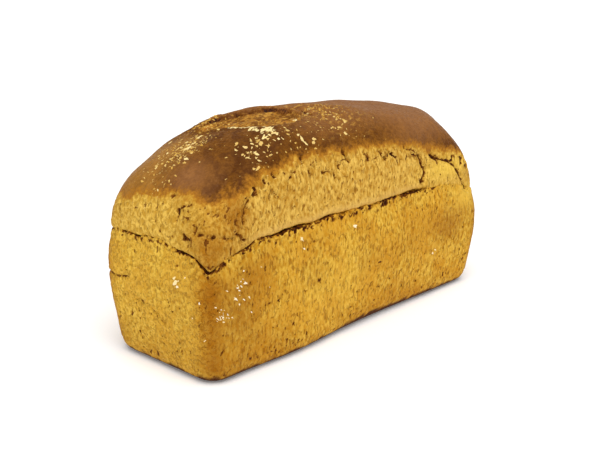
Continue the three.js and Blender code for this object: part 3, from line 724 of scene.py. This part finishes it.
# Colours of the baked loaf, in red, green and blue out of 255
crustColours = {
    "wallPale": (238, 193, 78), "wallDeep": (194, 139, 36), "wallCloud": (204, 138, 32),
    "golden": (248, 206, 84), "bandPale": (232, 187, 88), "bandDeep": (182, 130, 42), "lip": (218, 174, 92),
    "tan": (174, 114, 34), "crown": (104, 61, 10), "crownPale": (130, 81, 20), "crownDark": (74, 39, 3),
    # paintedSheen: a painted highlight, greyer than the crown's brown
    "paintedSheen": (160, 108, 62), "slope": (182, 128, 56), "scorch": (150, 90, 14),
    "heart": (176, 114, 38), "heartDeep": (96, 54, 16), "strand": (214, 160, 70), "flour": (252, 226, 156),
    # gapeShade and hollow: painted shade for cracks, pits, tears and gaps
    "gapeShade": (60, 28, 8), "hollow": (116, 68, 18), "dash": (138, 86, 16), "foot": (84, 46, 16),
}
crustFinish = {
    "wallRough": 0.8, "crownRough": 0.5, "grainRough": 0.25, "gloss": 0.1, "bump": 0.7, "bumpDepth": 0.6,
    "grainBump": 0.6, "speckleBump": 0.3, "wallBump": 1.15,
}
flakeColours = {"pale": (252, 226, 152), "deep": (208, 158, 52), "speck": (252, 240, 216)}
flakeFinish = {"tintSize": 1.2, "roughSize": 0.8, "bumpSize": 0.6, "bump": 0.5, "bumpDepth": 0.2}
# Noises of the crust: cell size in millimetres, stretch in x, y and z, detail, twist, shift, and the values
# between which it goes from 0 to 1
crustNoises = {
    "cloud": (20, (1, 1, 1), 3, 0, 0, 0.38, 0.62), "blotch": (7, (1, 1, 1), 3, 0, 0, 0.4, 0.6),
    "layers": (3, (1.6, 1, 0.7), 3, 0.8, 23, 0.42, 0.58),
    "crumbs": (2.4, (1.5, 1, 0.6), 2, 0.6, 29, 0.54, 0.66),
    "mottle": (2.6, (1, 1, 1), 3, 0, 31, 0.4, 0.66), "speckle": (1.3, (1, 1, 1), 2, 0, 7, 0.34, 0.66),
    "grain": (1.8, (1, 1, 2), 3, 0.35, 0, 0.3, 0.7), "endGrain": (2.2, (1, 1, 1.1), 3, 0.6, 0, 0.38, 0.62),
    "dash": (1.6, (1, 1, 2.2), 2, 0.45, 3, 0.55, 0.66), "endDash": (1.9, (1, 1, 1.1), 2, 0.9, 3, 0.54, 0.64),
    "shred": (2, (1, 1, 1.8), 2, 0.7, 11, 0.56, 0.7), "nick": (1.8, (1, 1, 1), 2, 0, 17, 0.3, 0.7),
}
# Painted shade of fine creases on the ends lies where this noise is halfway: size in millimetres, shift,
# half widths
creaseForm = {"size": 11, "shift": 13, "side": 0.016, "core": 0.002}
# Shares by which each layer of colour covers what lies under it
crustShares = {
    "cloud": 0.5, "speckle": 0.25, "dash": 0.6, "crease": 0.7, "lip": 0.7, "shred": 0.75, "lipShred": 0.6,
    "golden": 0.6, "crownSpeckle": 0.45, "deep": 0.45, "paintedSheen": 0.7, "slope": 0.65, "mottle": 0.22,
    "roughGrain": 0.4, "heartGrain": 0.4, "heartLayers": 0.7, "heartCrumbs": 0.7,
}
# Values between which the browning, the flour and the painted shade of the cracks set in, and how far the
# nicks move them
crustEdges = {
    "tan": (0.06, 0.46), "baked": (0.28, 0.85), "flour": (0.8, 1.35),
    "hollow": (0.3, 0.64), "gapeShade": (0.6, 1.05),
}
nickReach = {"browned": 0.22, "flour": 0.8, "ragged": 0.5}


def linear(colour):
    # each channel over 255, raised to 2.2
    return tuple((c / 255) ** 2.2 for c in colour) + (1,)


def setOrJoin(tree, socket, value):
    if isinstance(value, bpy.types.NodeSocket):
        tree.links.new(value, socket)
    else:
        socket.default_value = value


def startMaterial(name):
    material = bpy.data.materials.new(name)
    material.use_nodes = True
    tree = material.node_tree
    return material, tree, tree.nodes["Principled BSDF"].inputs


def grainNoise(tree, size, stretch=(1, 1, 1), detail=3, twist=0, shift=0):
    # noise on object coordinates whose cells are size millimetres, times stretch along each axis
    place = tree.nodes.new("ShaderNodeTexCoord").outputs["Object"]
    mapping = tree.nodes.new("ShaderNodeMapping")
    setOrJoin(tree, mapping.inputs["Vector"], place)
    mapping.inputs["Scale"].default_value = [1 / (size * mm * s) for s in stretch]
    mapping.inputs["Location"].default_value = (shift, shift, shift)
    noise = tree.nodes.new("ShaderNodeTexNoise")
    setOrJoin(tree, noise.inputs["Vector"], mapping.outputs["Vector"])
    for key, value in (("Scale", 1), ("Detail", detail), ("Distortion", twist)):
        noise.inputs[key].default_value = value
    return noise.outputs["Fac"]


def ramped(tree, value, low, high):
    # 0 below low, 1 above high, smooth between
    node = tree.nodes.new("ShaderNodeMapRange")
    node.interpolation_type = "SMOOTHSTEP"
    for key, number in (("Value", value), ("From Min", low), ("From Max", high)):
        setOrJoin(tree, node.inputs[key], number)
    return node.outputs["Result"]


def combined(tree, operation, a, b):
    node = tree.nodes.new("ShaderNodeMath")
    node.operation = operation
    setOrJoin(tree, node.inputs[0], a)
    setOrJoin(tree, node.inputs[1], b)
    return node.outputs["Value"]


def mixed(tree, share, a, b, kind="RGBA"):
    node = tree.nodes.new("ShaderNodeMix")
    node.data_type = kind
    for socket, value in zip([s for s in node.inputs if s.enabled], (share, a, b)):
        setOrJoin(tree, socket, value)
    return next(s for s in node.outputs if s.enabled)


def maskOf(tree, name):
    node = tree.nodes.new("ShaderNodeAttribute")
    node.attribute_name = name
    return node.outputs["Fac"]


def layered(tree, base, share, mask, colour):
    # the base mixed towards the colour by share * mask
    return mixed(tree, combined(tree, "MULTIPLY", mask, share), base, colour)


def moved(tree, value, noise, reach):
    # value + (noise - 0.5) * reach
    centred = combined(tree, "SUBTRACT", noise, 0.5)
    return combined(tree, "ADD", value, combined(tree, "MULTIPLY", centred, reach))


def bumped(tree, shader, height, strength, depth):
    bump = tree.nodes.new("ShaderNodeBump")
    for key, value in (("Height", height), ("Strength", strength), ("Distance", depth * mm)):
        setOrJoin(tree, bump.inputs[key], value)
    setOrJoin(tree, shader["Normal"], bump.outputs["Normal"])


def crustMaterial():
    material, tree, shader = startMaterial("bakedCrust")
    c = {key: linear(value) for key, value in crustColours.items()}
    s, finish, edges = crustShares, crustFinish, crustEdges
    toast, gapeShade, heart, flour, band, scorch, foot, lip, rough, strand = (maskOf(tree, name) for name in (
        "toast", "gapeShade", "heart", "flour", "band", "scorch", "foot", "lip", "rough", "strand"))
    paintedSheen, golden, slope, deep, ends = (maskOf(tree, name) for name in (
        "paintedSheen", "golden", "slope", "deep", "ends"))
    cloud, blotch, layers, crumbs, mottle, speckle, grain, endGrain, dash, endDash, shred, nick = (
        ramped(tree, grainNoise(tree, *form[:5]), *form[5:]) for form in crustNoises.values())
    grain = mixed(tree, ends, grain, endGrain, "FLOAT")
    dash = mixed(tree, ends, dash, endDash, "FLOAT")
    fold = grainNoise(tree, creaseForm["size"], shift=creaseForm["shift"])
    fold = combined(tree, "ABSOLUTE", combined(tree, "SUBTRACT", fold, 0.5), 0)
    fold = ramped(tree, fold, creaseForm["side"], creaseForm["core"])
    # painted shade: dark lines of fine creases on the ends, with no relief under them
    crease = combined(tree, "MULTIPLY", combined(tree, "MULTIPLY", ends, fold), cloud)

    # the walls and the stretched band over the crack
    wall = mixed(tree, grain, c["wallPale"], c["wallDeep"])
    wall = layered(tree, wall, s["cloud"], cloud, c["wallCloud"])
    wall = layered(tree, wall, s["speckle"], speckle, c["wallDeep"])
    wall = layered(tree, wall, s["dash"], dash, c["dash"])
    wall = layered(tree, wall, s["crease"], crease, c["dash"])
    stretched = mixed(tree, grain, c["bandPale"], c["bandDeep"])
    stretched = layered(tree, stretched, s["lip"], lip, c["lip"])
    flecks = combined(tree, "SUBTRACT", s["shred"], combined(tree, "MULTIPLY", lip, s["lipShred"]))
    stretched = layered(tree, stretched, flecks, shred, c["dash"])
    wall = mixed(tree, band, wall, stretched)
    wall = layered(tree, wall, s["golden"], golden, c["golden"])
    wall = mixed(tree, scorch, wall, c["scorch"])
    wall = mixed(tree, foot, wall, c["foot"])

    # the brown crown, and the torn heart of the slash
    baked = mixed(tree, blotch, c["crown"], c["crownPale"])
    baked = layered(tree, baked, s["crownSpeckle"], speckle, c["crownDark"])
    baked = layered(tree, baked, s["deep"], deep, c["crownDark"])
    # painted highlight: the greyer sheen painted over the crown
    baked = layered(tree, baked, s["paintedSheen"], paintedSheen, c["paintedSheen"])
    baked = layered(tree, baked, s["slope"], slope, c["slope"])
    baked = layered(tree, baked, s["mottle"], mottle, c["crownDark"])
    baked = layered(tree, baked, s["roughGrain"], combined(tree, "MULTIPLY", rough, grain), c["heart"])
    baked = layered(tree, baked, rough, crumbs, c["strand"])
    # painted shade: the heart darker in the hollows between its raised strands, lighter on them
    inner = mixed(tree, strand, c["heartDeep"], c["heart"])
    inner = layered(tree, inner, s["heartGrain"], grain, c["strand"])
    inner = layered(tree, inner, s["heartLayers"], layers, c["heartDeep"])
    inner = layered(tree, inner, s["heartCrumbs"], crumbs, c["strand"])

    # wall to crown, then the slash, its flour, and the painted shade of the cracks, pits and tears over all
    browned = moved(tree, toast, nick, nickReach["browned"])
    colour = mixed(tree, ramped(tree, browned, *edges["tan"]), wall, c["tan"])
    colour = mixed(tree, ramped(tree, browned, *edges["baked"]), colour, baked)
    colour = mixed(tree, heart, colour, inner)
    powder = combined(tree, "ADD", flour, combined(tree, "MULTIPLY", nick, nickReach["flour"]))
    colour = mixed(tree, ramped(tree, powder, *edges["flour"]), colour, c["flour"])
    # painted shade of the cracks: hollow at their edges, gapeShade deep in them
    ragged = moved(tree, gapeShade, nick, nickReach["ragged"])
    hollow = mixed(tree, ramped(tree, ragged, *edges["gapeShade"]), c["hollow"], c["gapeShade"])
    colour = mixed(tree, ramped(tree, ragged, *edges["hollow"]), colour, hollow)
    setOrJoin(tree, shader["Base Color"], colour)

    roughness = mixed(tree, toast, finish["wallRough"], finish["crownRough"], "FLOAT")
    setOrJoin(tree, shader["Roughness"], moved(tree, roughness, speckle, finish["grainRough"]))
    shader["Specular IOR Level"].default_value = finish["gloss"]
    plain = combined(tree, "SUBTRACT", finish["wallBump"], toast)
    pitted = mixed(tree, band, dash, shred, "FLOAT")
    pitted = combined(tree, "ADD", combined(tree, "MULTIPLY", grain, finish["grainBump"]), pitted)
    height = combined(tree, "MULTIPLY", pitted, plain)
    height = combined(tree, "ADD", height, combined(tree, "MULTIPLY", speckle, finish["speckleBump"]))
    bumped(tree, shader, combined(tree, "MULTIPLY", height, -1), finish["bump"], finish["bumpDepth"])
    return material


def flakeMaterial(name, pale, deep):
    material, tree, shader = startMaterial(name)
    finish = flakeFinish
    uneven = ramped(tree, grainNoise(tree, finish["tintSize"]), 0, 0.6)
    tint = combined(tree, "MULTIPLY", maskOf(tree, "tint"), uneven)
    setOrJoin(tree, shader["Base Color"], mixed(tree, tint, linear(pale), linear(deep)))
    setOrJoin(tree, shader["Roughness"], ramped(tree, grainNoise(tree, finish["roughSize"]), -0.5, 1.2))
    bumped(tree, shader, grainNoise(tree, finish["bumpSize"]), finish["bump"], finish["bumpDepth"])
    return material


crust = crustMaterial()
for piece, material in (
    (walls, crust), (crown, crust),
    (flakes, flakeMaterial("branFlake", flakeColours["pale"], flakeColours["deep"])),
    (specks, flakeMaterial("flourSpeck", flakeColours["speck"], flakeColours["pale"])),
):
    piece.data.materials.append(material)
    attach(piece, "root")
    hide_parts("loaf")
print("materials made")

# The pale floor, the light and the camera, in metres
studio = {
    "floorHalf": 12, "floorColour": (252, 251, 250), "floorRough": 0.9, "floorGlow": 0.12, "worldLight": 0.5,
    "sun": {"from": (-0.25, -0.35, 0.9), "strength": 2.2, "spread": 50},
}
view = {"at": (-0.44274, -0.40568, 0.23564), "turn": -46.99, "down": 16.6, "lens": 60, "sensor": 36}


def makeFloor():
    half = studio["floorHalf"]
    mesh = bpy.data.meshes.new("floor")
    corners = [(-half, -half, 0), (half, -half, 0), (half, half, 0), (-half, half, 0)]
    mesh.from_pydata(corners, [], [(0, 1, 2, 3)])
    material, _, shader = startMaterial("floorPaint")
    shader["Base Color"].default_value = linear(studio["floorColour"])
    shader["Roughness"].default_value = studio["floorRough"]
    shader["Emission Color"].default_value = linear(studio["floorColour"])
    shader["Emission Strength"].default_value = studio["floorGlow"]
    mesh.materials.append(material)
    addPiece("floor", mesh)


def lightAndCamera():
    scene = bpy.context.scene
    scene.world = bpy.data.worlds.new("studio")
    scene.world.use_nodes = True
    sky = scene.world.node_tree.nodes["Background"].inputs
    sky["Color"].default_value = (1, 1, 1, 1)
    sky["Strength"].default_value = studio["worldLight"]
    scene.view_settings.view_transform = "Standard"
    sun = bpy.data.lights.new("softSun", "SUN")
    sun.energy, sun.angle = studio["sun"]["strength"], math.radians(studio["sun"]["spread"])
    lamp = addPiece("softSun", sun)
    lamp.rotation_euler = (-Vector(studio["sun"]["from"])).to_track_quat("-Z", "Y").to_euler()
    lens = bpy.data.cameras.new("camera")
    lens.lens, lens.sensor_width = view["lens"], view["sensor"]
    camera = addPiece("camera", lens)
    camera.location = view["at"]
    camera.rotation_euler = (math.radians(90 - view["down"]), 0, math.radians(view["turn"]))
    scene.camera = camera


makeFloor()
lightAndCamera()
print("floor, light and camera set")
